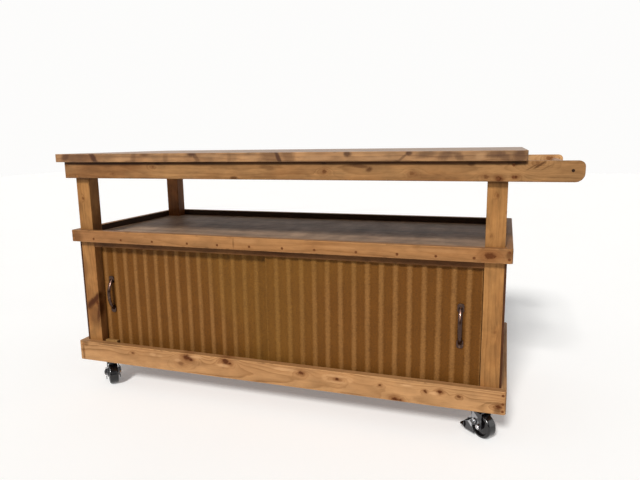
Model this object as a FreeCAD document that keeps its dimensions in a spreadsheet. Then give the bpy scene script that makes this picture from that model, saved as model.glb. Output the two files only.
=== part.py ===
import FreeCAD, Part
import Sketcher
import math
import os

# Timber serving trolley: four square posts carry a plank top, a recessed tray
# shelf and a cabinet with two corrugated sliding doors.  The two top rails run
# on past the frame at one end and hold a round push bar.  Four swivel casters
# with foot brakes stand under the cabinet floor.
#
# Frame of the model: millimetres, +Z up, the floor is Z = 0.  +X runs along the
# trolley towards the push bar and -Y is the side with the sliding doors.  The
# origin is under the middle of the whole object's footprint.

os.makedirs("parts", exist_ok=True)
doc = FreeCAD.newDocument("trolley")
V = FreeCAD.Vector

# ---------------------------------------------------------------- dimensions
ROWS = [
    # whole frame
    ("shift_x", 70.9, "the frame's middle lies this far behind the origin"),
    ("frame_half", 750.0, "half length of the boards round the frame"),
    ("depth_half", 327.0, "half depth over the front and rear boards"),
    ("board_thk", 24.7, "thickness of the front and rear boards"),
    ("end_thk", 21.3, "thickness of the end boards"),
    ("post_wide", 54.7, "post section along X"),
    ("post_deep", 49.2, "post section along Y"),
    ("ease", 2.0, "rounded arris on the sawn boards"),
    ("corner_round", 9.0, "rounded vertical corners at the board ends"),
    ("base_more", 9.0, "bottom boards stand out this much at the plain end"),
    # heights above the floor
    ("base_low", 100.0, "underside of the bottom boards"),
    ("base_high", 171.5, "top of the bottom boards"),
    ("tray_low", 547.0, "underside of the tray boards"),
    ("tray_high", 588.5, "top of the tray boards"),
    ("rail_low", 773.0, "underside of the top rails"),
    ("rail_high", 829.0, "top of the top rails, underside of the planks"),
    ("plank_thk", 28.0, "thickness of the top planks"),
    # top
    ("over_left", 23.9, "plank overhang at the plain end"),
    ("over_right", 25.4, "plank overhang at the push bar end"),
    ("over_side", 15.2, "plank overhang at front and rear"),
    ("plank_count", 5.0, "planks across the top"),
    ("plank_ease", 1.6, "rounded arris along each plank"),
    ("slab_round_left", 2.5, "rounded corners of the top at the plain end"),
    ("slab_round_right", 8.0, "rounded corners of the top at the push bar end"),
    # push bar end
    ("grip_reach", 165.7, "length of the rails past the frame"),
    ("grip_top_round", 15.0, "rounding of the rail's upper end corner"),
    ("grip_low_round", 24.0, "rounding of the rail's lower end corner"),
    ("bar_rad", 15.0, "push bar radius"),
    ("bar_at", 136.3, "push bar axis past the frame's end"),
    ("bar_high", 803.4, "push bar axis above the floor"),
    # shelf and cabinet
    ("deck_top", 566.0, "top of the tray's deck"),
    ("deck_thk", 13.5, "thickness of the deck"),
    ("floor_thk", 18.0, "thickness of the cabinet floor"),
    ("panel_thk", 6.0, "thickness of the end and back panels"),
    # door tracks, each one batten with two routed grooves
    ("track_front", 16.0, "front lip of a track"),
    ("track_groove", 14.0, "width of a groove"),
    ("track_mid", 5.0, "lip between the grooves"),
    ("track_rear", 10.0, "rear lip"),
    ("track_web", 6.0, "thickness left under a groove"),
    ("low_track_height", 20.0, "height of the lower track"),
    ("high_track_height", 26.5, "height of the upper track"),
    ("stop_long", 52.0, "length of the stop block in the front groove"),
    ("stop_height", 46.0, "height of the stop block over the groove"),
    # doors
    ("door_long", 682.0, "length of a door"),
    ("door_thk", 9.0, "thickness of the door board"),
    ("door_low", 124.4, "bottom edge of a door board"),
    ("door_high", 532.0, "top edge of a door board"),
    ("door_side_gap", 2.0, "gap between a closed door and its post"),
    ("door_set", 2.0, "door board behind its groove's front wall"),
    ("sheet_low", 141.0, "bottom edge of the corrugated sheet"),
    ("sheet_high", 523.0, "top edge of the corrugated sheet"),
    ("sheet_thk", 1.2, "thickness of the corrugated sheet"),
    ("ridge_pitch", 43.3, "ridge to ridge"),
    ("ridge_wide", 17.0, "width of a ridge"),
    ("ridge_slope", 25.0, "steepest slope of the corrugation, degrees"),
    # door pulls
    ("pull_long", 137.0, "overall height of a pull"),
    ("pull_mid_left", 344.0, "height of the left pull's middle"),
    ("pull_mid_right", 345.0, "height of the right pull's middle"),
    ("pull_stand", 27.0, "how far the bow stands off the door"),
    ("pull_foot_wide", 20.0, "width of a pull's foot"),
    ("pull_foot_long", 24.0, "height of a pull's foot"),
    ("pull_foot_thk", 3.4, "thickness of a pull's foot"),
    ("pull_lift", 1.75, "flat feet bridge the valley of the sheet by this much"),
    ("pull_grip_wide", 13.0, "width of the bow"),
    ("pull_grip_thk", 8.0, "thickness of the bow"),
    ("pull_screw_rad", 2.0, "pull screw radius"),
    # wood screws
    ("screw_long", 50.0, "length of a wood screw"),
    ("screw_rad", 2.1, "shank radius"),
    ("screw_head_rad", 4.2, "head radius"),
    ("screw_head_deep", 2.6, "height of the countersunk head"),
    ("screw_sink", 1.1, "head below the wood's surface"),
    ("screw_play", 0.05, "hole larger than the screw, on the radius"),
    # casters
    ("stem_x", 670.0, "swivel axis from the frame's middle, along X"),
    ("stem_y", 264.0, "swivel axis from the frame's middle, along Y"),
    ("plate_long", 92.0, "caster plate along X"),
    ("plate_wide", 60.0, "caster plate along Y"),
    ("plate_thk", 2.5, "caster plate thickness"),
    ("bolt_span_x", 76.0, "bolt spacing along X"),
    ("bolt_span_y", 45.0, "bolt spacing along Y"),
    ("bolt_rad", 3.0, "lag screw radius"),
    ("bolt_deep", 14.0, "lag screw length in the cabinet floor"),
    ("race_rad", 23.0, "upper ball race radius"),
    ("race_low", 90.8, "underside of the upper race"),
    ("king_rad", 5.0, "kingpin radius"),
    ("king_head_rad", 8.0, "kingpin rivet head radius"),
    ("king_head_thk", 3.0, "kingpin rivet head height"),
    ("king_low", 76.2, "underside of the kingpin"),
    ("wheel_rad", 37.5, "wheel radius"),
    ("wheel_wide", 32.0, "wheel width over the tread"),
    ("hub_wide", 35.0, "wheel width over the hub"),
    ("trail", 24.0, "axle behind the swivel axis"),
    ("axle_rad", 4.0, "axle radius"),
    ("bore_rad", 4.06, "wheel bore radius"),
    ("fork_out", 42.0, "fork width outside"),
    ("fork_in", 36.0, "fork width inside"),
    ("crown_low", 79.5, "underside of the fork crown"),
    ("crown_high", 82.5, "top of the fork crown"),
    ("neck_rad", 20.0, "lower ball race radius"),
    ("neck_high", 90.5, "top of the lower race"),
    ("eye_rad", 11.0, "rounded end of a fork leg"),
    ("pin_u", -8.0, "brake pin from the swivel axis, along the way it leads"),
    ("pin_z", 50.0, "brake pin above the floor"),
    ("pin_rad", 2.5, "brake pin radius"),
    ("pin_from", 18.2, "inner end of a brake pin, from the middle"),
    ("brake_low", 12.5, "underside of the brake's cheeks and front plate"),
    ("brake_face_u", 27.0, "brake's front plate ahead of the swivel axis"),
    ("brake_face_high", 38.0, "top of the brake's front plate"),
    ("brake_face_thk", 2.5, "thickness of the brake's front plate"),
    ("pedal_z", 21.0, "underside of the pedal"),
    ("pedal_thk", 2.6, "thickness of the pedal"),
    ("pin_play", 0.08, "clearance round the brake pin and kingpin"),
    ("arm_in", 46.0, "brake pedal width inside its arms"),
    ("arm_out", 51.0, "brake pedal width outside its arms"),
    ("heading_fl", 133.0, "way the front left caster leads, degrees from +X"),
    ("heading_fr", 139.0, "way the front right caster leads, degrees"),
    ("heading_rl", 131.0, "way the rear left caster leads, degrees"),
    ("heading_rr", 140.0, "way the rear right caster leads, degrees"),
]
sheet = doc.addObject("Spreadsheet::Sheet", "Dims")
DIM = {}
for i, (name, value, words) in enumerate(ROWS, 1):
    sheet.set("A%d" % i, name)
    sheet.set("B%d" % i, str(value))
    sheet.setAlias("B%d" % i, name)
    sheet.set("C%d" % i, words)
    DIM[name] = value
doc.recompute()


class Q:
    """A length: the sheet expression that drives it, and its number now."""

    def __init__(self, expr, value):
        self.expr, self.value = expr, float(value)

    @staticmethod
    def of(x):
        return x if isinstance(x, Q) else Q(repr(float(x)), x)

    def __add__(self, o):
        o = Q.of(o)
        return Q("(%s + %s)" % (self.expr, o.expr), self.value + o.value)

    def __radd__(self, o):
        return Q.of(o) + self

    def __sub__(self, o):
        o = Q.of(o)
        return Q("(%s - %s)" % (self.expr, o.expr), self.value - o.value)

    def __rsub__(self, o):
        return Q.of(o) - self

    def __mul__(self, o):
        o = Q.of(o)
        return Q("(%s * %s)" % (self.expr, o.expr), self.value * o.value)

    def __rmul__(self, o):
        return Q.of(o) * self

    def __truediv__(self, o):
        o = Q.of(o)
        return Q("(%s / %s)" % (self.expr, o.expr), self.value / o.value)

    def __neg__(self):
        return Q("(0 - %s)" % self.expr, -self.value)


def d(name):
    return Q("Dims." + name, DIM[name])


def n(name):
    return float(sheet.get(name))


NODES = {}


def keep(obj, label):
    obj.Label = label
    NODES[label] = obj
    return obj


def bind(obj, prop, q):
    q = Q.of(q)
    obj.setExpression(prop, q.expr)


def place(obj, x, y, z, yaw=0.0):
    x, y, z = Q.of(x), Q.of(y), Q.of(z)
    obj.Placement = FreeCAD.Placement(
        V(x.value, y.value, z.value), FreeCAD.Rotation(V(0, 0, 1), yaw)
    )
    bind(obj, "Placement.Base.x", x)
    bind(obj, "Placement.Base.y", y)
    bind(obj, "Placement.Base.z", z)
    return obj


# ------------------------------------------------- sketch and feature helpers
def new_body(label):
    return doc.addObject("PartDesign::Body", "Body_" + label)


def sketch(body, role, offset=None):
    s = body.newObject("Sketcher::SketchObject", "Sketch_" + body.Name)
    plane = [o for o in body.Origin.OriginFeatures if o.Role == role][0]
    s.AttachmentSupport = [(plane, "")]
    s.MapMode = "FlatFace"
    if offset is not None:
        offset = Q.of(offset)
        s.AttachmentOffset = FreeCAD.Placement(
            V(0, 0, offset.value), FreeCAD.Rotation()
        )
        bind(s, "AttachmentOffset.Base.z", offset)
    return s


def fix(s, geo, pos, x, y):
    """Hold a point of a sketch at x, y from the sketch's origin."""
    for kind, q, axis in (("DistanceX", Q.of(x), -2), ("DistanceY", Q.of(y), -1)):
        if abs(q.value) < 1e-9:
            s.addConstraint(Sketcher.Constraint("PointOnObject", geo, pos, axis))
        elif q.value > 0:
            c = s.addConstraint(
                Sketcher.Constraint(kind, -1, 1, geo, pos, q.value)
            )
            s.setExpression("Constraints[%d]" % c, q.expr)
        else:
            c = s.addConstraint(
                Sketcher.Constraint(kind, geo, pos, -1, 1, -q.value)
            )
            s.setExpression("Constraints[%d]" % c, (-q).expr)


def poly(s, points):
    """A closed outline through points, each held by its own two distances."""
    pts = [(Q.of(x), Q.of(y)) for x, y in points]
    g0 = s.GeometryCount
    m = len(pts)
    for i in range(m):
        a, b = pts[i], pts[(i + 1) % m]
        s.addGeometry(
            Part.LineSegment(
                V(a[0].value, a[1].value, 0), V(b[0].value, b[1].value, 0)
            ),
            False,
        )
    for i in range(m):
        s.addConstraint(
            Sketcher.Constraint("Coincident", g0 + i, 2, g0 + (i + 1) % m, 1)
        )
    for i in range(m):
        fix(s, g0 + i, 1, *pts[i])


def rect(s, x0, y0, x1, y1):
    poly(s, [(x0, y0), (x1, y0), (x1, y1), (x0, y1)])


def circle(s, x, y, r):
    x, y, r = Q.of(x), Q.of(y), Q.of(r)
    g = s.addGeometry(
        Part.Circle(V(x.value, y.value, 0), V(0, 0, 1), r.value), False
    )
    c = s.addConstraint(Sketcher.Constraint("Radius", g, r.value))
    s.setExpression("Constraints[%d]" % c, r.expr)
    if abs(x.value) < 1e-9 and abs(y.value) < 1e-9:
        s.addConstraint(Sketcher.Constraint("Coincident", g, 3, -1, 1))
    else:
        fix(s, g, 3, x, y)


def pad(body, s, length, back=False):
    f = body.newObject("PartDesign::Pad", "Pad_" + body.Name)
    f.Profile = s
    f.Length = Q.of(length).value
    bind(f, "Length", length)
    f.Reversed = back
    s.Visibility = False
    return f


def pocket(body, s, length, back=False):
    """Cut a sketch into the body, and make sure that it did cut."""
    doc.recompute()
    before = body.Tip.Shape.Volume
    f = body.newObject("PartDesign::Pocket", "Pocket_" + body.Name)
    f.Profile = s
    f.Length = Q.of(length).value
    bind(f, "Length", length)
    f.Reversed = back
    doc.recompute()
    if not f.Shape.Volume < before - 1e-6:
        raise RuntimeError("a pocket in %s cuts nothing" % body.Name)
    return f


def fillet(body, radius, wanted):
    """Round the edges of the body for which wanted(edge) is true."""
    doc.recompute()
    base = body.Tip
    names = [
        "Edge%d" % i for i, e in enumerate(base.Shape.Edges, 1) if wanted(e)
    ]
    if not names:
        raise RuntimeError("no edge to round on " + body.Name)
    f = body.newObject("PartDesign::Fillet", "Fillet_" + body.Name)
    f.Base = (base, names)
    f.Radius = Q.of(radius).value
    bind(f, "Radius", radius)
    doc.recompute()
    if "Invalid" in f.State or not f.Shape.isValid():
        raise RuntimeError("rounding failed on " + body.Name)
    return f


def runs(e, axis):
    """Whether an edge is a straight line along an axis, 0, 1 or 2."""
    if len(e.Vertexes) != 2 or not isinstance(e.Curve, (Part.Line,)):
        return False
    v = e.Vertexes[1].Point - e.Vertexes[0].Point
    return abs(abs(v[axis]) - v.Length) < 1e-6 * max(1.0, v.Length)


def mid(e):
    return e.CenterOfMass


def cut(body, tool, label):
    c = doc.addObject("Part::Cut", "Cut_" + label)
    c.Base = body
    c.Tool = tool
    return keep(c, label)


def box_body(label, long, wide, high, ease=None, pick=None):
    """A sawn piece: a rectangle in plan, padded up, its arrises rounded."""
    b = new_body(label)
    s = sketch(b, "XY_Plane")
    rect(s, 0, 0, long, wide)
    pad(b, s, high)
    if ease is not None:
        fillet(b, ease, pick or (lambda e: True))
    return b


# positions used again and again
X_MID = -d("shift_x")
A, B, T, TE = d("frame_half"), d("depth_half"), d("board_thk"), d("end_thk")
FRONT_IN = -(B - T)
POST_OUT = A - TE
POST_IN = POST_OUT - d("post_wide")
FLOOR_TOP = d("base_low") + d("floor_thk")
DECK_LOW = d("deck_top") - d("deck_thk")

# ----------------------------------------------------------------- wood screws
# Countersunk cross-head screws through the front and rear boards.  Twelve along
# each tray board hold the deck's edge; their spacing is uneven, as set by hand.
DECK_SCREWS_X = [-652.7, -537.8, -411.0, -274.7, -162.2, -47.0,
                 66.3, 173.0, 305.1, 429.1, 541.0, 646.6]
END_X = n("frame_half") - 9.6
DECK_Z = n("deck_top") - n("deck_thk") / 2
SCREWS = {"tray": [], "base": [], "rail": []}
for sx in DECK_SCREWS_X:
    SCREWS["tray"].append((sx, DECK_Z))
for sx in (-END_X, END_X):
    SCREWS["tray"] += [(sx, n("tray_low") + 12.2), (sx, n("tray_high") - 9.7)]
    SCREWS["base"] += [(sx, n("base_low") + 10.5), (sx, n("base_low") + 33.6),
                       (sx, n("base_high") - 11.8)]
    SCREWS["rail"] += [(sx, n("rail_low") + 12.5), (sx, n("rail_high") - 11.1)]
for sx in (-701.5, 701.5):
    SCREWS["rail"].append((sx, n("rail_low") + 7.7))
SCREWS["rail"].append((n("frame_half") + n("bar_at"), n("bar_high")))


def screw(grow=0.0, hole=False):
    """A countersunk screw along +Y with the wood's surface at Y = 0."""
    r, rh = n("screw_rad") + grow, n("screw_head_rad") + grow
    sink, deep = n("screw_sink"), n("screw_head_deep")
    long = n("screw_long")
    pts = [V(0, sink, 0), V(rh, sink, 0), V(rh, sink + 0.5, 0),
           V(r, sink + deep, 0), V(r, long - 4.0, 0),
           V(0.6 if not hole else r, long, 0), V(0, long, 0)]
    if hole:
        pts = [V(0, -5, 0), V(rh, -5, 0)] + pts[2:-1] + [V(0, long, 0)]
    w = Part.makePolygon(pts + [pts[0]])
    solid = Part.Face(w).revolve(V(0, 0, 0), V(0, 1, 0), 360)
    if not hole:
        for a in (45, 135):
            slot = Part.makeBox(4.4, 1.5, 0.9, V(-2.2, sink - 0.1, -0.45))
            slot.rotate(V(0, 0, 0), V(0, 1, 0), a)
            solid = solid.cut(slot)
    return solid


def at_screws(shape, level):
    """Copies of shape at a level's screws, front and rear."""
    out = []
    for sx, sz in SCREWS[level]:
        x = sx - n("shift_x")
        f = shape.copy()
        f.translate(V(x, -n("depth_half"), sz))
        out.append(f)
        r = shape.copy()
        r.rotate(V(0, 0, 0), V(0, 0, 1), 180)
        r.translate(V(x, n("depth_half"), sz))
        out.append(r)
    return out


HOLES = {}
drill = screw(n("screw_play"), True)
for level in SCREWS:
    h = doc.addObject("Part::Feature", "Holes_" + level)
    h.Shape = Part.makeCompound(at_screws(drill, level))
    HOLES[level] = h
one = screw()
wood_screws = doc.addObject("Part::Feature", "WoodScrews")
wood_screws.Shape = Part.makeCompound(
    [s for level in SCREWS for s in at_screws(one, level)]
)
keep(wood_screws, "wood_screws")

# ----------------------------------------------------------------------- posts
for name, sx, sy in (("front_left", -1, -1), ("front_right", 1, -1),
                     ("rear_left", -1, 1), ("rear_right", 1, 1)):
    b = box_body("post_" + name, d("post_wide"), d("post_deep"),
                 d("rail_high") - FLOOR_TOP, d("ease"), lambda e: runs(e, 2))
    x = X_MID + (POST_IN if sx > 0 else -POST_OUT)
    y = FRONT_IN if sy < 0 else B - T - d("post_deep")
    place(b, x, y, FLOOR_TOP)
    cut(b, HOLES["rail"], "post_" + name)

# ------------------------------------------------------------- long side boards
for level, low, high, holes in (
    ("base", d("base_low"), d("base_high"), "base"),
    ("tray", d("tray_low"), d("tray_high"), "tray"),
):
    for side in ("front", "rear"):
        label = "%s_board_%s" % (level, side)
        outer_y = 0.0 if side == "front" else n("board_thk")
        more = d("base_more") if level == "base" else Q.of(0.0)
        b = box_body(label, A * 2 + more, T, high - low, d("corner_round"),
                     lambda e, oy=outer_y: runs(e, 2)
                     and abs(mid(e).y - oy) < 1e-3)
        fillet(b, d("ease"), lambda e: runs(e, 0))
        place(b, X_MID - A - more, -B if side == "front" else B - T, low)
        cut(b, HOLES[holes], label)

# the top rails run on past the frame, with a rounded end as a grip
for side in ("front", "rear"):
    label = "top_rail_" + side
    b = box_body(label, A * 2 + d("grip_reach"), T,
                 d("rail_high") - d("rail_low"))
    end = n("frame_half") * 2 + n("grip_reach")
    tall = n("rail_high") - n("rail_low")
    fillet(b, d("grip_top_round"), lambda e: runs(e, 1)
           and abs(mid(e).x - end) < 1e-3 and mid(e).z > tall / 2)
    fillet(b, d("grip_low_round"), lambda e: runs(e, 1)
           and abs(mid(e).x - end) < 1e-3 and mid(e).z < tall / 2)
    outer_y = 0.0 if side == "front" else n("board_thk")
    fillet(b, d("ease"), lambda e: runs(e, 0))
    place(b, X_MID - A, -B if side == "front" else B - T, d("rail_low"))
    cut(b, HOLES["rail"], label)

# ------------------------------------------------------------------- end boards
for level, low, high in (("base", d("base_low"), d("base_high")),
                         ("tray", d("tray_low"), d("tray_high")),
                         ("rail", d("rail_low"), d("rail_high"))):
    for side, sx in (("left", -1), ("right", 1)):
        label = "%s_%s" % ({"base": "base_board", "tray": "tray_board",
                            "rail": "top_rail"}[level], side)
        more = d("base_more") if level == "base" and sx < 0 else Q.of(0.0)
        b = box_body(label, TE + more, (B - T) * 2, high - low, d("ease"),
                     lambda e: runs(e, 1))
        place(b, X_MID + (POST_OUT if sx > 0 else -A) - more, FRONT_IN, low)
        cut(b, HOLES[level], label)

# ---------------------------------------------------------------------- planks
count = int(n("plank_count"))
PLANK = (B + d("over_side")) * 2 / d("plank_count")
for i in range(count):
    label = "top_plank_%d" % (i + 1)
    full = n("frame_half") * 2 + n("over_left") + n("over_right")
    wide = PLANK.value
    b = box_body(label, A * 2 + d("over_left") + d("over_right"), PLANK,
                 d("plank_thk"))
    if i in (0, count - 1):
        # the outer corners of the top are rounded off
        oy = 0.0 if i == 0 else wide
        fillet(b, d("slab_round_left"), lambda e: runs(e, 2)
               and abs(mid(e).y - oy) < 1e-3 and mid(e).x < 1.0)
        fillet(b, d("slab_round_right"), lambda e: runs(e, 2)
               and abs(mid(e).y - oy) < 1e-3 and mid(e).x > 1.0)
    fillet(b, d("plank_ease"), lambda e: runs(e, 0)
           or (runs(e, 1) and abs(mid(e).z - n("plank_thk")) < 1e-3))
    place(b, X_MID - A - d("over_left"),
          -(B + d("over_side")) + PLANK * float(i), d("rail_high"))
    keep(b, label)

# -------------------------------------------------------------------- push bar
bar = doc.addObject("Part::Cylinder", "PushBar")
bind(bar, "Radius", d("bar_rad"))
bind(bar, "Height", (B - T) * 2)
bar.Placement = FreeCAD.Placement(
    V(n("frame_half") + n("bar_at") - n("shift_x"),
      -(n("depth_half") - n("board_thk")), n("bar_high")),
    FreeCAD.Rotation(V(1, 0, 0), -90))
bind(bar, "Placement.Base.x", X_MID + A + d("bar_at"))
bind(bar, "Placement.Base.y", FRONT_IN)
bind(bar, "Placement.Base.z", d("bar_high"))
cut(bar, HOLES["rail"], "push_bar")

# ------------------------------------------------- shelf deck, notched for posts
b = new_body("shelf_deck")
s = sketch(b, "XY_Plane")
W, H2 = POST_OUT * 2, (B - T) * 2
pw, pd = d("post_wide"), d("post_deep")
poly(s, [(pw, 0), (W - pw, 0), (W - pw, pd), (W, pd), (W, H2 - pd),
         (W - pw, H2 - pd), (W - pw, H2), (pw, H2), (pw, H2 - pd),
         (0, H2 - pd), (0, pd), (pw, pd)])
pad(b, s, d("deck_thk"))
place(b, X_MID - POST_OUT, FRONT_IN, DECK_LOW)
cut(b, HOLES["tray"], "shelf_deck")

# --------------------------------------- cabinet floor, end panels, back panel
b = box_body("cabinet_floor", POST_OUT * 2, (B - T) * 2, d("floor_thk"))
place(b, X_MID - POST_OUT, FRONT_IN, d("base_low"))
bolt_at = []
for sx in (-1, 1):
    for sy in (-1, 1):
        for bx in (-0.5, 0.5):
            for by in (-0.5, 0.5):
                bolt_at.append(
                    (sx * n("stem_x") - n("shift_x") + bx * n("bolt_span_x"),
                     sy * n("stem_y") + by * n("bolt_span_y")))
lag_holes = doc.addObject("Part::Feature", "LagHoles")
lag_holes.Shape = Part.makeCompound([
    Part.makeCylinder(n("bolt_rad") + n("screw_play"), n("bolt_deep") + 1.2,
                      V(x, y, n("base_low") - 1.0)) for x, y in bolt_at])
cut(b, lag_holes, "cabinet_floor")

for side, sx in (("left", -1), ("right", 1)):
    b = box_body("end_panel_" + side, d("panel_thk"), (B - T) * 2,
                 d("tray_low") - d("base_high"))
    place(b, X_MID + (POST_OUT if sx > 0 else -POST_OUT - d("panel_thk")),
          FRONT_IN, d("base_high"))
    keep(b, "end_panel_" + side)
b = box_body("back_panel", POST_OUT * 2, d("panel_thk"),
             d("tray_low") - d("base_high"))
place(b, X_MID - POST_OUT, B - T, d("base_high"))
keep(b, "back_panel")

# ------------------------------------------------------------------ door tracks
G0 = d("track_front")
G1 = G0 + d("track_groove")
G2 = G1 + d("track_mid")
G3 = G2 + d("track_groove")
G4 = G3 + d("track_rear")
for label, upper in (("door_track_lower", False), ("door_track_upper", True)):
    b = new_body(label)
    s = sketch(b, "YZ_Plane")
    tall = d("high_track_height") if upper else d("low_track_height")
    web = d("track_web")
    lip, floor = tall, web
    if upper:
        low, base = Q.of(0.0), tall - web
        poly(s, [(0, 0), (G0, 0), (G0, base), (G1, base), (G1, 0), (G2, 0),
                 (G2, base), (G3, base), (G3, 0), (G4, 0), (G4, tall),
                 (0, tall)])
    else:
        poly(s, [(0, 0), (G4, 0), (G4, tall), (G3, tall), (G3, web),
                 (G2, web), (G2, tall), (G1, tall), (G1, web), (G0, web),
                 (G0, tall), (0, tall)])
    pad(b, s, POST_IN * 2)
    place(b, X_MID - POST_IN, FRONT_IN,
          DECK_LOW - tall if upper else FLOOR_TOP)
    keep(b, label)

# a block at the plain end of the front groove stops the front door there
b = box_body("door_stop", d("stop_long"), d("track_groove") - 1.0,
             d("stop_height"), 1.5, lambda e: mid(e).z > n("stop_height") - 1e-3)
place(b, X_MID - POST_IN, FRONT_IN + G0 + 0.5, FLOOR_TOP + d("track_web"))
keep(b, "door_stop")

# ------------------------------------------------------------------------ doors
slope = math.radians(n("ridge_slope"))
pitch, rw = n("ridge_pitch"), n("ridge_wide")
vw = pitch - rw
R_RIDGE = rw / 2 / math.sin(slope)
R_VALLEY = vw / 2 / math.sin(slope)
HIGH = (rw + vw) / 2 * math.tan(slope / 2)


def corrugated(x0, x1, ridge0):
    """A corrugated sheet from x0 to x1 with one ridge at ridge0.

    The sheet's back touches Y = 0 along the valleys and its ridges stand to
    -Y.  Each arc of the section meets the next at the same slope, so both
    faces are smooth; the arcs are cut by the sheet's two straight edges.
    """
    t = n("sheet_thk")
    front, back = [], []
    k0 = int(math.floor((x0 - ridge0) / pitch)) - 1
    k1 = int(math.ceil((x1 - ridge0) / pitch)) + 1
    s_, c_ = math.sin(slope), math.cos(slope)
    base = -t - R_VALLEY * (1 - c_)
    for k in range(k0, k1 + 1):
        xr = ridge0 + k * pitch
        # ridge arc: the centre lies behind the sheet
        cy = base - R_RIDGE * (1 - c_) + R_RIDGE
        front.append((V(xr - R_RIDGE * s_, cy - R_RIDGE * c_, 0),
                      V(xr, cy - R_RIDGE, 0),
                      V(xr + R_RIDGE * s_, cy - R_RIDGE * c_, 0)))
        r = R_RIDGE - t
        back.append((V(xr - r * s_, cy - r * c_, 0), V(xr, cy - r, 0),
                     V(xr + r * s_, cy - r * c_, 0)))
        # valley arc: the centre lies in front of the sheet
        xv = xr + pitch / 2
        vy = -t - R_VALLEY
        front.append((V(xv - R_VALLEY * s_, vy + R_VALLEY * c_, 0),
                      V(xv, vy + R_VALLEY, 0),
                      V(xv + R_VALLEY * s_, vy + R_VALLEY * c_, 0)))
        r = R_VALLEY + t
        back.append((V(xv - r * s_, vy + r * c_, 0), V(xv, vy + r, 0),
                     V(xv + r * s_, vy + r * c_, 0)))
    edges = [Part.Arc(*p).toShape() for p in front]
    last = [Part.Arc(*p).toShape() for p in reversed(back)]
    edges.append(Part.makeLine(front[-1][2], back[-1][2]))
    edges += last
    edges.append(Part.makeLine(back[0][0], front[0][0]))
    face = Part.Face(Part.Wire(Part.__sortEdges__(edges)))
    tall = n("sheet_high") - n("sheet_low")
    solid = face.extrude(V(0, 0, tall))
    trim = Part.makeBox(x1 - x0, 60, tall + 2, V(x0, -40, -1))
    return solid.common(trim)


def pull_body(label):
    """A bow pull: two round-ended feet joined by an arched oval bar.

    Local frame: the door's surface is Y = 0, the pull stands to -Y, Z = 0 is
    its lower end.
    """
    b = new_body(label)
    L, fl, fw, ft = (d("pull_long"), d("pull_foot_long"), d("pull_foot_wide"),
                     d("pull_foot_thk"))
    for low in (Q.of(0.0), L - fl):
        s = sketch(b, "XZ_Plane")
        poly(s, [(-fw / 2, low), (fw / 2, low), (fw / 2, low + fl),
                 (-fw / 2, low + fl)])
        pad(b, s, ft)
    # the bow's centre line is one arc in the plane of symmetry
    path = sketch(b, "YZ_Plane")
    z0, z1, zm = n("pull_foot_long") * 0.55, 0, n("pull_long") / 2
    z1 = n("pull_long") - z0
    y0, ym = -n("pull_foot_thk") * 0.4, -n("pull_stand") + n("pull_grip_thk") / 2
    path.addGeometry(Part.Arc(V(y0, z0, 0), V(ym, zm, 0), V(y0, z1, 0)), False)
    doc.recompute()
    first = 1 if path.getPoint(0, 1).y < zm else 2
    fix(path, 0, first, -(ft * 0.4), fl * 0.55)
    fix(path, 0, 3 - first, -(ft * 0.4), L - fl * 0.55)
    sag = abs(ym - y0)
    half = (z1 - z0) / 2
    R = (half * half + sag * sag) / (2 * sag)
    sagq = d("pull_stand") - d("pull_grip_thk") / 2 - ft * 0.4
    halfq = (L - fl * 1.1) / 2
    rq = (halfq * halfq + sagq * sagq) / (sagq * 2)
    c = path.addConstraint(Sketcher.Constraint("Radius", 0, R))
    path.setExpression("Constraints[%d]" % c, rq.expr)
    # the bar's section, an oval across the start of the arc
    sec = b.newObject("Sketcher::SketchObject", "Section_" + b.Name)
    doc.recompute()
    arc = path.Shape.Edges[0]
    p = arc.valueAt(arc.FirstParameter)
    tan = arc.tangentAt(arc.FirstParameter)
    if (p - V(0, y0, z0)).Length > 1e-3:
        p = arc.valueAt(arc.LastParameter)
        tan = arc.tangentAt(arc.LastParameter) * -1
    rot = FreeCAD.Rotation(V(1, 0, 0), V(0, 0, 0), tan, "ZXY")
    sec.Placement = FreeCAD.Placement(p, rot)
    a, m = n("pull_grip_wide") / 2, n("pull_grip_thk") / 2
    g = sec.addGeometry(
        Part.Ellipse(V(a, 0, 0), V(0, m, 0), V(0, 0, 0)), False)
    pipe = b.newObject("PartDesign::AdditivePipe", "Bow_" + b.Name)
    pipe.Profile = sec
    pipe.Spine = (path, ["Edge1"])
    doc.recompute()
    b.Tip = pipe
    # no part of the bar stands behind the door's surface
    s = sketch(b, "XZ_Plane", 0.0)
    rect(s, -40, -40, 40, L + 40.0)
    p_ = b.newObject("PartDesign::Pocket", "Trim_" + b.Name)
    p_.Profile = s
    p_.Length = 30
    doc.recompute()
    # corners of the feet are round, and their front edges are eased
    fillet(b, 7.5, lambda e: runs(e, 1) and abs(abs(mid(e).x)
           - n("pull_foot_wide") / 2) < 1e-3 and
           (mid(e).z < 1e-3 or mid(e).z > n("pull_long") - 1e-3))
    # blind holes for the two screws from behind
    s = sketch(b, "XZ_Plane")
    for z in (fl * 0.5, L - fl * 0.5):
        circle(s, 0, z, d("pull_screw_rad") + d("screw_play"))
    pocket(b, s, 6.0, back=True)
    return b


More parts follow.
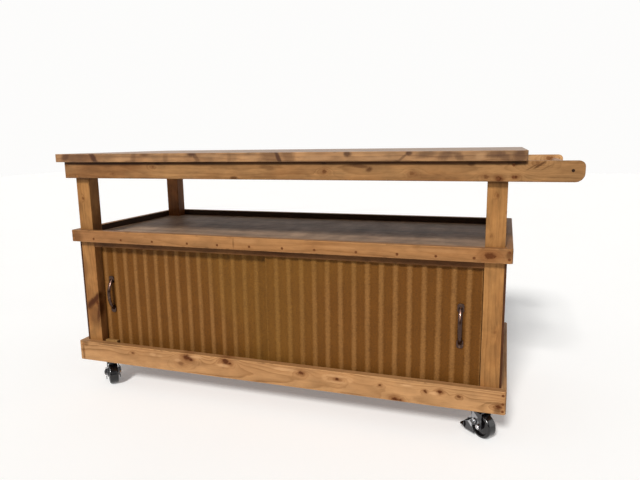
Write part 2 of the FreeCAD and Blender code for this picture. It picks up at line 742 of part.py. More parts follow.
DOORS = {
    "left": (-n("frame_half") + n("end_thk") + n("post_wide")
             + n("door_side_gap"), -658.8, -637.1, "pull_mid_left",
             n("track_front") + n("track_groove") + n("track_mid")),
    "right": (n("frame_half") - n("end_thk") - n("post_wide")
              - n("door_side_gap") - n("door_long"), 634.1, 612.45,
              "pull_mid_right", n("track_front")),
}
for side, (x0, ridge, pull_x, pull_mid, groove) in DOORS.items():
    # numbers from the frame's middle, then shifted to the origin
    face_y = -(n("depth_half") - n("board_thk")) + groove + n("door_set")
    x0s, rs, ps = (v - n("shift_x") for v in (x0, ridge, pull_x))
    gq = G2 if side == "left" else G0
    xq = (X_MID - POST_IN + d("door_side_gap")) if side == "left" else (
        X_MID + POST_IN - d("door_side_gap") - d("door_long"))
    yq = FRONT_IN + gq + d("door_set")
    b = box_body("door_board_" + side, d("door_long"), d("door_thk"),
                 d("door_high") - d("door_low"))
    place(b, xq, yq, d("door_low"))
    zc = n(pull_mid)
    low = zc - n("pull_long") / 2
    fl, L = n("pull_foot_long"), n("pull_long")
    screw_z = (low + fl * 0.5, low + L - fl * 0.5)
    back_y = face_y + n("door_thk")

    def pull_screw(z, grow):
        r = n("pull_screw_rad") + grow
        w = [V(0, 0, 0), V(3.8 + grow, 0, 0), V(r, -2.2, 0),
             V(r, -(n("door_thk") + n("sheet_thk") + 5.2), 0),
             V(0, -(n("door_thk") + n("sheet_thk") + 5.2), 0)]
        sh = Part.Face(Part.makePolygon(w + [w[0]])).revolve(
            V(0, 0, 0), V(0, 1, 0), 360)
        sh.translate(V(ps, back_y, z))
        return sh

    tool = doc.addObject("Part::Feature", "PullHoles_" + side)
    tool.Shape = Part.makeCompound(
        [pull_screw(z, n("screw_play")) for z in screw_z])
    cut(b, tool, "door_board_" + side)

    sh = doc.addObject("Part::Feature", "Sheet_" + side)
    solid = corrugated(x0, x0 + n("door_long"), ridge)
    solid.translate(V(-n("shift_x"), face_y, n("sheet_low")))
    sh.Shape = solid
    cut(sh, tool, "door_sheet_" + side)

    b = pull_body("door_pull_" + side)
    place(b, X_MID + Q.of(pull_x), yq - d("sheet_thk") - d("pull_lift"),
          d(pull_mid) - d("pull_long") / 2)
    keep(b, "door_pull_" + side)

    scr = doc.addObject("Part::Feature", "PullScrews_" + side)
    scr.Shape = Part.makeCompound([pull_screw(z, 0.0) for z in screw_z])
    keep(scr, "door_pull_screws_" + side)

# ---------------------------------------------------------------------- casters
# Each caster's own frame: Z up from the floor, the swivel axis at the origin,
# +X the way it leads, so that the axle lies at -X, and the pedal at +X.
FO, FI = d("fork_out") / 2, d("fork_in") / 2
TR, WR = d("trail"), d("wheel_rad")


def put(obj, sx, sy, heading, z=0.0, u=0.0):
    a = math.radians(heading)
    obj.Placement = FreeCAD.Placement(
        V(sx * n("stem_x") - n("shift_x") + u * math.cos(a),
          sy * n("stem_y") + u * math.sin(a), z),
        FreeCAD.Rotation(V(0, 0, 1), heading))
    return obj


def caster_plate(label):
    b = new_body(label)
    s = sketch(b, "XY_Plane", d("base_low") - d("plate_thk"))
    hx, hy = d("plate_long") / 2, d("plate_wide") / 2
    rect(s, -hx, -hy, hx, hy)
    pad(b, s, d("plate_thk"))
    fillet(b, 6.0, lambda e: runs(e, 2))
    s = sketch(b, "XY_Plane", d("race_low"))
    circle(s, 0, 0, d("race_rad"))
    pad(b, s, d("base_low") - d("plate_thk") - d("race_low"))
    fillet(b, 3.0, lambda e: isinstance(e.Curve, Part.Circle)
           and abs(e.Curve.Radius - n("race_rad")) < 1e-3
           and abs(mid(e).z - n("race_low")) < 1e-3)
    s = sketch(b, "XY_Plane", d("king_low"))
    circle(s, 0, 0, d("king_rad"))
    pad(b, s, d("race_low") - d("king_low") + 1.0)
    s = sketch(b, "XY_Plane", d("king_low"))
    circle(s, 0, 0, d("king_head_rad"))
    pad(b, s, d("king_head_thk"))
    s = sketch(b, "XY_Plane", d("base_low"))
    bx, by = d("bolt_span_x") / 2, d("bolt_span_y") / 2
    for x, y in ((-bx, -by), (bx, -by), (bx, by), (-bx, by)):
        circle(s, x, y, d("bolt_rad") + 0.4)
    pocket(b, s, d("plate_thk") + 1.0)
    return b


def caster_fork(label):
    b = new_body(label)
    s = sketch(b, "XZ_Plane", -FO)
    poly(s, [(-31, d("crown_high")), (-34, 70), (-(TR + d("eye_rad")), WR),
             (-TR, WR - d("eye_rad")), (-TR + 9.0, WR - 6.3), (1, 45),
             (4, 53), (7, 73), (24, 78), (24, d("crown_high"))])
    pad(b, s, d("fork_out"))
    s = sketch(b, "XZ_Plane", -FO)
    circle(s, -TR, WR, d("eye_rad"))
    pad(b, s, d("fork_out"))
    fillet(b, 4.0, lambda e: runs(e, 0)
           and abs(mid(e).z - n("crown_high")) < 1e-3)
    s = sketch(b, "XZ_Plane", FI)
    rect(s, -80, -10, 80, d("crown_low"))
    pocket(b, s, d("fork_in"))
    s = sketch(b, "XY_Plane", d("crown_high"))
    circle(s, 0, 0, d("neck_rad"))
    pad(b, s, d("neck_high") - d("crown_high"))
    fillet(b, 3.5, lambda e: isinstance(e.Curve, Part.Circle)
           and abs(e.Curve.Radius - n("neck_rad")) < 1e-3
           and abs(mid(e).z - n("neck_high")) < 1e-3)
    s = sketch(b, "XY_Plane", d("neck_high"))
    circle(s, 0, 0, d("king_rad") + d("pin_play"))
    pocket(b, s, 20.0)
    s = sketch(b, "XZ_Plane", FO)
    circle(s, -TR, WR, d("axle_rad") + 0.02)
    circle(s, d("pin_u"), d("pin_z"), d("pin_rad") + d("pin_play"))
    pocket(b, s, d("fork_out"))
    return b


def caster_wheel(label):
    b = new_body(label)
    s = sketch(b, "YZ_Plane")
    hw, hh = d("wheel_wide") / 2, d("hub_wide") / 2
    poly(s, [(-hh, d("bore_rad")), (hh, d("bore_rad")), (hh, 8.5),
             (hh - 5.5, 10.5), (hh - 7.5, 25.5), (hw, 29), (hw, WR),
             (-hw, WR), (-hw, 29), (-hh + 7.5, 25.5), (-hh + 5.5, 10.5),
             (-hh, 8.5)])
    rev = b.newObject("PartDesign::Revolution", "Wheel_" + b.Name)
    rev.Profile = s
    rev.ReferenceAxis = (s, ["H_Axis"])
    rev.Angle = 360
    fillet(b, 6.5, lambda e: isinstance(e.Curve, Part.Circle)
           and abs(e.Curve.Radius - n("wheel_rad")) < 1e-3)
    return b


def caster_axle(label):
    long = n("fork_out") + 13.0
    shaft = doc.addObject("Part::Cylinder", "Shaft_" + label)
    bind(shaft, "Radius", d("axle_rad"))
    bind(shaft, "Height", d("fork_out") + 13.0)
    shaft.Placement = FreeCAD.Placement(V(0, -long / 2, 0),
                                        FreeCAD.Rotation(V(1, 0, 0), -90))
    head = doc.addObject("Part::Prism", "Head_" + label)
    head.Polygon, head.Circumradius, head.Height = 6, 7.5, 5.3
    head.Placement = FreeCAD.Placement(V(0, n("fork_out") / 2 + 0.05, 0),
                                       FreeCAD.Rotation(V(1, 0, 0), -90))
    nut = doc.addObject("Part::Prism", "Nut_" + label)
    nut.Polygon, nut.Circumradius, nut.Height = 6, 7.5, 6.5
    nut.Placement = FreeCAD.Placement(V(0, -n("fork_out") / 2 - 0.05, 0),
                                      FreeCAD.Rotation(V(1, 0, 0), 90))
    f = doc.addObject("Part::MultiFuse", "Axle_" + label)
    f.Shapes = [shaft, head, nut]
    return f


def caster_brake(label):
    """A pressed stirrup: a front plate with a cheek down each side of the fork.

    Its two pins turn in the fork's legs, outside the wheel, and its shoe comes
    to the tread when the pedal goes down.
    """
    b = new_body(label)
    ao, ai = d("arm_out") / 2, d("arm_in") / 2
    fu, ft = d("brake_face_u"), d("brake_face_thk")
    s = sketch(b, "YZ_Plane", fu)
    rect(s, -31, d("brake_low"), 30, d("brake_face_high"))
    pad(b, s, ft)
    fillet(b, 10.0, lambda e: runs(e, 0))
    side = [(-16, 50), (-14, 57), (-4, 58), (2, 53), (14, 42), (29, 37),
            (33, 30), (34, 20), (29, d("brake_low")), (-12, d("brake_low")),
            (-10, 21), (-3, 34), (-14, 43)]
    for off in (-ao, ai):
        s = sketch(b, "XZ_Plane", off)
        poly(s, side)
        pad(b, s, ao - ai)
    pin_long = ao + 3.0 - d("pin_from")
    for off in (-ao - 3.0, d("pin_from")):
        s = sketch(b, "XZ_Plane", off)
        circle(s, d("pin_u"), d("pin_z"), d("pin_rad"))
        pad(b, s, pin_long)
    # the shoe, a block behind the front plate
    s = sketch(b, "XZ_Plane", -13.0)
    poly(s, [(15.8, 48), (15.4, 44), (16.8, 37), (fu + 1.0, 32),
             (fu + 1.0, 44)])
    pad(b, s, 26.0)
    s = sketch(b, "XY_Plane", d("pedal_z"))
    poly(s, [(fu + 1.0, -24), (38, -22), (45, -10), (47, 10), (46.5, 24),
             (42, 30), (fu + 1.0, 30)])
    pad(b, s, d("pedal_thk"))
    fillet(b, 3.0, lambda e: runs(e, 2) and mid(e).x > 36
           and abs(mid(e).z - n("pedal_z") - n("pedal_thk") / 2) < 1e-3)
    return b


for tag, sx, sy in (("fl", -1, -1), ("fr", 1, -1), ("rl", -1, 1),
                    ("rr", 1, 1)):
    heading = n("heading_" + tag)
    keep(place(caster_plate("caster_plate_" + tag),
               X_MID + d("stem_x") * float(sx), d("stem_y") * float(sy), 0.0),
         "caster_plate_" + tag)
    keep(put(caster_fork("caster_fork_" + tag), sx, sy, heading),
         "caster_fork_" + tag)
    for make, name in ((caster_wheel, "caster_wheel_"),
                       (caster_axle, "caster_axle_")):
        keep(put(make(name + tag), sx, sy, heading, n("wheel_rad"),
                 -n("trail")), name + tag)
    keep(put(caster_brake("caster_brake_" + tag), sx, sy, heading),
         "caster_brake_" + tag)

# sixteen hex lag screws hold the four plates up to the cabinet floor
lags = doc.addObject("Part::Feature", "LagScrews")
solids = []
for x, y in bolt_at:
    z = n("base_low") - n("plate_thk")
    shank = Part.makeCylinder(n("bolt_rad"), n("plate_thk") + n("bolt_deep"),
                              V(x, y, z))
    ring = [V(x + 5.8 * math.cos(math.radians(60 * k)),
              y + 5.8 * math.sin(math.radians(60 * k)), z - 4.0)
            for k in range(6)]
    head = Part.Face(Part.makePolygon(ring + [ring[0]])).extrude(V(0, 0, 4.0))
    solids.append(head.fuse(shank).removeSplitter())
lags.Shape = Part.makeCompound(solids)
keep(lags, "caster_screws")

# ------------------------------------------------------------ check and export
doc.recompute()
bad = [o.Name for o in doc.Objects if "Invalid" in o.State or "Error" in o.State]
if bad:
    raise RuntimeError("failed objects: " + ", ".join(bad))
for label, obj in NODES.items():
    shape = obj.Shape
    if shape.isNull() or not shape.isValid() or not shape.Solids:
        raise RuntimeError("bad shape: " + label)
for label, obj in NODES.items():
    obj.Shape.exportStep("parts/%s.step" % label)
total = Part.makeCompound([o.Shape for o in NODES.values()]).BoundBox
print(len(NODES), "sub-parts; box",
      [round(v, 2) for v in (total.XMin, total.XMax, total.YMin, total.YMax,
                             total.ZMin, total.ZMax)])
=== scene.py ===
import bpy
import math
import random
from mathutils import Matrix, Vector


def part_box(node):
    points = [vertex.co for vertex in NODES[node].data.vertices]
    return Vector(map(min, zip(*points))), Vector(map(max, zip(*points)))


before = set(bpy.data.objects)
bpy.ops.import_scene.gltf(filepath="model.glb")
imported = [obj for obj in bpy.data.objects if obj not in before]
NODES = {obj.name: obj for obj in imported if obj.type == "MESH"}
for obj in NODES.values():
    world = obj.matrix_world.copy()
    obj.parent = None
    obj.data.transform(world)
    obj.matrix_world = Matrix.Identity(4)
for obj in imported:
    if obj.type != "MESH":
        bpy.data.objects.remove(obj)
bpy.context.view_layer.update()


# ------------------------------------------------------------------ node helper
class Tree:
    """Short calls for one shader node tree."""

    def __init__(self, tree):
        self.t = tree
        self.count = 0

    def new(self, kind, **settings):
        node = self.t.nodes.new(kind)
        for k, v in settings.items():
            setattr(node, k, v)
        self.count += 1
        node.location = ((self.count % 14) * 180, -(self.count // 14) * 220)
        return node

    def put(self, socket, value):
        if isinstance(value, bpy.types.NodeSocket):
            self.t.links.new(value, socket)
        elif value is not None:
            if isinstance(value, (tuple, list)) and socket.type == "RGBA" \
                    and len(value) == 3:
                value = tuple(value) + (1.0,)
            socket.default_value = value

    def m(self, op, a, b=None, c=None, clamp=False):
        n = self.new("ShaderNodeMath", operation=op, use_clamp=clamp)
        self.put(n.inputs[0], a)
        if b is not None:
            self.put(n.inputs[1], b)
        if c is not None:
            self.put(n.inputs[2], c)
        return n.outputs[0]

    def v(self, op, a, b=None, scale=None):
        n = self.new("ShaderNodeVectorMath", operation=op)
        self.put(n.inputs[0], a)
        if b is not None:
            self.put(n.inputs[1], b)
        if scale is not None:
            self.put(n.inputs["Scale"], scale)
        out = "Value" if op in ("LENGTH", "DISTANCE", "DOT_PRODUCT") else "Vector"
        return n.outputs[out]

    def sep(self, a):
        n = self.new("ShaderNodeSeparateXYZ")
        self.put(n.inputs[0], a)
        return n.outputs[0], n.outputs[1], n.outputs[2]

    def com(self, x, y, z):
        n = self.new("ShaderNodeCombineXYZ")
        for i, q in enumerate((x, y, z)):
            self.put(n.inputs[i], q)
        return n.outputs[0]

    def noise(self, vec, scale, detail=3.0, rough=0.5, distort=0.0, dims="3D",
              color=False):
        n = self.new("ShaderNodeTexNoise", noise_dimensions=dims)
        self.put(n.inputs["Vector"], vec)
        self.put(n.inputs["Scale"], scale)
        self.put(n.inputs["Detail"], detail)
        self.put(n.inputs["Roughness"], rough)
        self.put(n.inputs["Distortion"], distort)
        return n.outputs["Color"] if color else n.outputs[0]

    def voronoi(self, vec, scale, feature="F1", out="Distance", random_=1.0):
        n = self.new("ShaderNodeTexVoronoi", feature=feature)
        self.put(n.inputs["Vector"], vec)
        self.put(n.inputs["Scale"], scale)
        self.put(n.inputs["Randomness"], random_)
        return n.outputs[out]

    def white(self, w):
        n = self.new("ShaderNodeTexWhiteNoise", noise_dimensions="1D")
        self.put(n.inputs["W"], w)
        return n.outputs["Value"]

    def ramp(self, fac, stops, interp="LINEAR"):
        n = self.new("ShaderNodeValToRGB")
        r = n.color_ramp
        r.interpolation = interp
        while len(r.elements) < len(stops):
            r.elements.new(0.5)
        for e, (p, c) in zip(r.elements, stops):
            e.position = p
            e.color = tuple(c) + (1.0,) if len(c) == 3 else c
        self.put(n.inputs[0], fac)
        return n.outputs[0]

    def span(self, x, a, b, c=0.0, e=1.0, smooth=True):
        """x from a..b to c..e, held at the ends."""
        n = self.new("ShaderNodeMapRange",
                     interpolation_type="SMOOTHSTEP" if smooth else "LINEAR")
        for i, q in enumerate((x, a, b, c, e)):
            self.put(n.inputs[i], q)
        return n.outputs[0]

    def mix(self, fac, a, b, blend="MIX", clamp=False):
        n = self.new("ShaderNodeMix", data_type="RGBA", blend_type=blend)
        n.clamp_result = clamp
        self.put(n.inputs[0], fac)
        self.put(n.inputs[6], a)
        self.put(n.inputs[7], b)
        return n.outputs[2]

    def lerp(self, fac, a, b):
        n = self.new("ShaderNodeMix", data_type="FLOAT")
        self.put(n.inputs[0], fac)
        self.put(n.inputs[2], a)
        self.put(n.inputs[3], b)
        return n.outputs[0]

    def tint(self, color, gain):
        """A colour times a grey gain."""
        return self.v("SCALE", color, scale=gain)

    def bump(self, height, strength, distance, normal=None):
        n = self.new("ShaderNodeBump")
        self.put(n.inputs["Height"], height)
        self.put(n.inputs["Strength"], strength)
        self.put(n.inputs["Distance"], distance)
        if normal is not None:
            self.put(n.inputs["Normal"], normal)
        return n.outputs[0]


def material(name):
    mat = bpy.data.materials.new(name)
    mat.use_nodes = True
    mat.node_tree.nodes.clear()
    t = Tree(mat.node_tree)
    out = t.new("ShaderNodeOutputMaterial")
    bsdf = t.new("ShaderNodeBsdfPrincipled")
    t.t.links.new(bsdf.outputs[0], out.inputs[0])
    coords = t.new("ShaderNodeTexCoord")
    return mat, t, bsdf, coords


def lin(r, g, b):
    """sRGB 0-255 to linear."""
    out = []
    for c in (r, g, b):
        c /= 255.0
        out.append(c / 12.92 if c <= 0.04045 else ((c + 0.055) / 1.055) ** 2.4)
    return tuple(out)


def dress(node, mat):
    """A CAD node keeps its mesh and gets this material."""
    obj = NODES[node]
    if obj.material_slots:
        for s in obj.material_slots:
            s.material = mat
    else:
        obj.data.materials.append(mat)


# ------------------------------------------------------------------------- wood
AX = {"X": 0, "Y": 1, "Z": 2}


def wood(name, box, grain, thick, early, late, knots=(), seed=0, ring=0.0085,
         pith=(0.01, -0.07), rough=0.50, contrast=0.75, blotch=0.45, streak=0.24,
         smudge=0.42, end_dark=0.66, arris=0.16, knot_col=(0.075, 0.017, 0.001),
         marks=(), spec=0.12, fibre_len=1.0, inner=None, side=None, bands=(),
         coarse=1.0, mottle=0.10, seam=(0.0, 0.0)):
    """Stained knotty pine.

    grain is the board's long axis and thick its thickness axis; the third axis
    is its width.  The annual rings are cylinders about a pith beside the board,
    so faces, edges and end grain all belong to one log.  Each knot is (along,
    across, core radius, swirl radius, strength) in metres in the row's frame:
    it runs through the thickness and turns the rings round itself.  A mark is a
    stain (x, y, z, rx, ry, rz, depth, slant of x over z).  inner is (axis,
    sign, colour): that face is painted in the dark colour, a painted shade that
    on the tray boards also carries the deck's dark stain.  side is (axis,
    gain): both faces across that axis are darkened by the gain, a painted shade
    for faces turned away from the light.  A band is (axis, from, to, tint,
    amount, limit): the tint comes in between the two places along the axis, and
    goes out again between the limit's.  A mark of negative depth is a pale spot.
    coarse scales the streaks across the grain, and mottle is how far the board
    varies in patches of a few centimetres.  seam darkens the low and the high
    edge across the width, where a board meets the next one.
    """
    rnd = random.Random(seed * 7919 + 13)
    lo, hi = box
    gi, ti = AX[grain], AX[thick]
    wi = 3 - gi - ti
    mid = [(lo[i] + hi[i]) / 2 for i in range(3)]
    half = [(hi[i] - lo[i]) / 2 for i in range(3)]
    mat, t, bsdf, coords = material(name)
    P = coords.outputs["Object"]
    xyz = t.sep(P)
    L = t.m("SUBTRACT", xyz[gi], mid[gi])
    W = t.m("SUBTRACT", xyz[wi], mid[wi])
    T = t.m("SUBTRACT", xyz[ti], mid[ti])
    off = (rnd.uniform(-9, 9), rnd.uniform(-9, 9), rnd.uniform(-9, 9))
    Q = t.v("ADD", t.com(L, W, T), off)      # this board's own piece of wood

    # slow wander of the rings along the board, and a small waviness
    slow = t.noise(t.v("MULTIPLY", Q, (1.3, 5.0, 5.0)), 1.0, 2.0, 0.5)
    slow = t.m("MULTIPLY", t.m("SUBTRACT", slow, 0.5), 0.046)
    wavy = t.noise(t.v("MULTIPLY", Q, (8.0, 24.0, 24.0)), 1.0, 3.0, 0.55)
    wavy = t.m("MULTIPLY", t.m("SUBTRACT", wavy, 0.5), 0.0075)
    w0 = pith[0] + rnd.uniform(-0.006, 0.006)
    t0 = pith[1] + rnd.uniform(-0.008, 0.008)
    dw = t.m("SUBTRACT", W, w0)
    dt = t.m("SUBTRACT", T, t0)
    rad = t.m("SQRT", t.m("ADD", t.m("MULTIPLY", dw, dw), t.m("MULTIPLY", dt, dt)))
    rad = t.m("ADD", rad, t.m("ADD", slow, wavy))
    rad = t.m("ADD", rad, t.m("MULTIPLY", L, rnd.choice((-1, 1)) * 0.012))

    # knots: warped distance to each axis, in core radii
    warp = t.noise(t.v("MULTIPLY", Q, (70.0, 80.0, 20.0)), 1.0, 3.0, 0.6, color=True)
    warp = t.v("SCALE", t.v("SUBTRACT", warp, (0.5, 0.5, 0.5)), scale=0.016)
    Pk = t.v("ADD", t.com(L, W, 0.0), t.v("MULTIPLY", warp, (1.0, 0.62, 0.0)))
    ringadd, core, halo = None, None, None
    ink = t.noise(t.v("MULTIPLY", Q, (190.0, 230.0, 60.0)), 1.0, 3.0, 0.65)
    inkk = t.m("MULTIPLY", t.m("SUBTRACT", ink, 0.5), 1.05)
    for k in knots:
        kl, kw, rc, rs, st = (k[0] - mid[gi], k[1] - mid[wi], k[2], k[3], k[4])
        rc *= 1.18
        e = t.v("SUBTRACT", Pk, (kl, kw, 0.0))
        dk = t.v("LENGTH", t.v("MULTIPLY", e, (0.70 / rc, 1.0 / rc, 0.0)))
        c1 = t.span(t.m("ADD", dk, inkk), 0.55, 1.30, min(1.0, st * 1.15), 0.0)
        core = c1 if core is None else t.m("MAXIMUM", core, c1)
        h1 = t.span(dk, 0.9, 3.2, 0.62 * st, 0.0)
        halo = h1 if halo is None else t.m("MAXIMUM", halo, h1)
        g = t.v("MULTIPLY", e, (0.52 / rs, 1.0 / rs, 0.0))
        g = t.m("EXPONENT", t.m("MULTIPLY", t.v("DOT_PRODUCT", g, g), -1.0))
        g = t.m("MULTIPLY", g, rs * 1.25 * (1.0 if kw >= w0 else -1.0))
        ringadd = g if ringadd is None else t.m("ADD", ringadd, g)
    if ringadd is not None:
        rad = t.m("SUBTRACT", rad, ringadd)

    # the annual rings: pale early wood runs up to a thin dark line of late wood
    arg = t.m("DIVIDE", rad, ring)
    whole = t.m("FLOOR", arg)
    frac = t.m("SUBTRACT", arg, whole)
    line = t.ramp(frac, [(0.0, (0.0,) * 3), (0.34, (0.10,) * 3),
                         (0.66, (0.42,) * 3), (0.86, (1.0,) * 3),
                         (0.93, (0.85,) * 3), (1.0, (0.0,) * 3)])
    vary = t.white(t.m("ADD", whole, float(seed) * 3.7))
    line = t.m("MULTIPLY", line, t.span(vary, 0.0, 1.0, 0.35, 1.0, False))
    soft = t.noise(t.v("MULTIPLY", Q, (2.2, 14.0, 14.0)), 1.0, 2.0, 0.5)
    line = t.m("MULTIPLY", line, t.span(soft, 0.30, 0.70, 0.35, 1.0))

    # fine fibres along the grain, pores and the odd longer streak
    k = coarse
    fine = t.noise(t.v("MULTIPLY", Q, (9.0 * fibre_len, 620.0, 620.0)), 1.0, 3.0, 0.62)
    pore = t.noise(t.v("MULTIPLY", Q, (30.0, 1500.0, 1500.0)), 1.0, 2.0, 0.5)
    long_ = t.noise(t.v("MULTIPLY", Q, (1.6, 70.0 * k, 70.0 * k)), 1.0, 3.0, 0.6)
    cloud = t.noise(t.v("MULTIPLY", Q, (3.4, 9.0 * k, 9.0 * k)), 1.0, 3.0, 0.55)
    patch = t.noise(t.v("MULTIPLY", Q, (15.0, 32.0 * k, 32.0 * k)), 1.0, 3.0, 0.6)
    smear = t.noise(t.v("MULTIPLY", Q, (9.0, 42.0 * k, 42.0 * k)), 1.0, 4.0, 0.62, 0.6)
    spot = t.noise(t.v("MULTIPLY", Q, (17.0, 24.0 * k, 24.0 * k)), 1.0, 2.0, 0.5, 0.5)

    body = t.mix(t.m("MULTIPLY", line, contrast), early, late)
    # patches where the stain went in redder and darker
    red = t.span(cloud, 0.42, 0.68, 0.0, 1.0)
    body = t.mix(t.m("MULTIPLY", red, blotch), body,
                 (late[0] * 1.05, late[1] * 0.82, late[2] * 0.64))
    dark = t.span(smear, 0.52, 0.74, 0.0, smudge)
    body = t.mix(dark, body, (late[0] * 0.46, late[1] * 0.36, late[2] * 0.26))
    gain = t.span(long_, 0.25, 0.75, 1.0 + streak * 0.6, 1.0 - streak, False)
    gain = t.m("MULTIPLY", gain, t.span(fine, 0.3, 0.7, 1.08, 0.90, False))
    gain = t.m("MULTIPLY", gain, t.span(pore, 0.30, 0.44, 0.84, 1.0))
    deep = 0.05 + 1.4 * mottle
    gain = t.m("MULTIPLY", gain, t.span(patch, 0.3, 0.7, 1.0 + deep, 1.0 - deep, False))
    gain = t.m("MULTIPLY", gain, t.span(spot, 0.32, 0.68, 1.0 - mottle, 1.0 + mottle))
    color = t.tint(body, gain)

    # knots: an orange-brown halo, then a dark core broken up by its own grain
    if core is not None:
        color = t.mix(halo, color, (late[0] * 0.78, late[1] * 0.52, late[2] * 0.32))
        heart = t.mix(t.span(ink, 0.40, 0.68, 0.0, 1.0), knot_col,
                      (late[0] * 0.42, late[1] * 0.26, late[2] * 0.14))
        color = t.mix(core, color, heart)

    for mk in marks:
        slant = mk[7] if len(mk) > 7 else 0.0
        e = t.v("SUBTRACT", P, (mk[0], mk[1], mk[2]))
        if slant:
            ex = t.sep(e)
            e = t.com(t.m("SUBTRACT", ex[0], t.m("MULTIPLY", ex[2], slant)), ex[1],
                      ex[2])
        e = t.v("MULTIPLY", e, (1.0 / mk[3], 1.0 / mk[4], 1.0 / mk[5]))
        q = t.m("ADD", t.v("LENGTH", e), t.m("MULTIPLY", inkk, 0.55))
        q = t.m("ADD", q, t.m("MULTIPLY", t.m("SUBTRACT", patch, 0.5), 0.9))
        dye = (late[0] * 0.32, late[1] * 0.20, late[2] * 0.08)
        if mk[6] < 0:
            dye = (early[0] * 1.32, early[1] * 1.42, early[2] * 1.60)
        color = t.mix(t.span(q, 0.40, 1.25, min(1.0, abs(mk[6]) * 1.08), 0.0), color,
                      dye)
    for band in bands:
        axis, a, b, rgb, much = band[:5]
        f = t.span(xyz[AX[axis]], a, b, 0.0, much)
        if len(band) > 5:
            far = band[5]
            f = t.m("MULTIPLY", f, t.span(xyz[AX[far[0]]], far[1], far[2], 1.0, 0.0))
        color = t.mix(f, color, t.v("MULTIPLY", color, rgb))

    # end grain drinks more stain
    nrm = t.sep(coords.outputs["Normal"])
    end = t.span(t.m("ABSOLUTE", nrm[gi]), 0.55, 0.9, 0.0, 1.0)
    color = t.mix(end, color, t.tint(color, end_dark))
    # painted shade: the faces across the side axis are darkened, as if turned away from the
    # light
    if side is not None:
        f = t.span(t.m("ABSOLUTE", nrm[AX[side[0]]]), 0.55, 0.9, 0.0, 1.0)
        color = t.mix(f, color, t.tint(color, side[1]))

    # arrises: a worn, paler line broken up by small dark nicks
    dl = t.m("SUBTRACT", half[gi], t.m("ABSOLUTE", L))
    dW = t.m("SUBTRACT", half[wi], t.m("ABSOLUTE", W))
    dT = t.m("SUBTRACT", half[ti], t.m("ABSOLUTE", T))
    big = t.m("MAXIMUM", t.m("MAXIMUM", dl, dW), dT)
    small = t.m("MINIMUM", t.m("MINIMUM", dl, dW), dT)
    second = t.m("SUBTRACT", t.m("ADD", t.m("ADD", dl, dW), dT),
                 t.m("ADD", big, small))
    nick = t.noise(t.v("MULTIPLY", Q, (38.0, 90.0, 90.0)), 1.0, 3.0, 0.6)
    edge = t.m("ADD", second, t.m("MULTIPLY", t.m("SUBTRACT", nick, 0.5), 0.0022))
    worn = t.span(edge, 0.0005, 0.0030, 1.0, 0.0)
    color = t.mix(t.m("MULTIPLY", worn, arris), color,
                  (early[0] * 1.25, early[1] * 1.28, early[2] * 1.30))
    dirt = t.m("MULTIPLY", t.span(nick, 0.56, 0.66, 0.0, 1.0),
               t.span(second, 0.001, 0.007, 1.0, 0.0))
    color = t.mix(t.m("MULTIPLY", dirt, 0.50), color, t.tint(color, 0.42))
    for at, much in zip((-half[wi], half[wi]), seam):
        if much:
            d = t.m("ADD", t.m("ABSOLUTE", t.m("SUBTRACT", W, at)),
                    t.m("MULTIPLY", t.m("SUBTRACT", nick, 0.5), 0.003))
            color = t.mix(t.span(d, 0.0012, 0.0050, much, 0.0), color,
                          t.tint(color, 0.30))
    # painted shade on the chosen face; on the tray boards it also carries the deck's dark
    # stain
    if inner is not None:
        f = t.m("MULTIPLY", nrm[AX[inner[0]]], inner[1])
        f = t.span(f, 0.5, 0.9, 0.0, 0.94)
        color = t.mix(f, color, t.v("SCALE", inner[2], scale=gain))

    t.put(bsdf.inputs["Base Color"], color)
    r = t.m("ADD", t.m("MULTIPLY", t.m("SUBTRACT", patch, 0.5), 0.16),
            t.m("ADD", t.m("MULTIPLY", fine, 0.10), rough - 0.05))
    t.put(bsdf.inputs["Roughness"], t.m("ADD", r, t.m("MULTIPLY", end, 0.20)))
    bsdf.inputs["Specular IOR Level"].default_value = spec
    h = t.m("ADD", t.m("MULTIPLY", line, 0.45), t.m("MULTIPLY", fine, 0.55))
    h = t.m("ADD", h, t.m("MULTIPLY", patch, 0.5))
    h = t.m("ADD", h, t.m("MULTIPLY", dirt, -0.8))
    if core is not None:
        h = t.m("ADD", h, t.m("MULTIPLY", core, 0.5))
    t.put(bsdf.inputs["Normal"], t.bump(h, 0.6, 0.00035))
    return mat


# ---------------------------------------------------------------------- colours
HONEY_E, HONEY_L = lin(150, 110, 69), lin(108, 72, 38)
TRAY_E, TRAY_L = lin(157, 112, 69), lin(116, 76, 39)
BASE_E, BASE_L = lin(175, 131, 87), lin(118, 80, 43)
POST_E, POST_L = lin(154, 109, 62), lin(114, 73, 36)
SLAB_E, SLAB_L = lin(158, 117, 77), lin(108, 71, 40)
# the deck's dark stain together with painted shade, for the inner faces of the tray boards
TRAY_STAIN_AND_SHADE = lin(54, 37, 25)


def knot(a, w, rc, st=0.9, swirl=2.6):
    return (a, w, rc, rc * swirl, st)


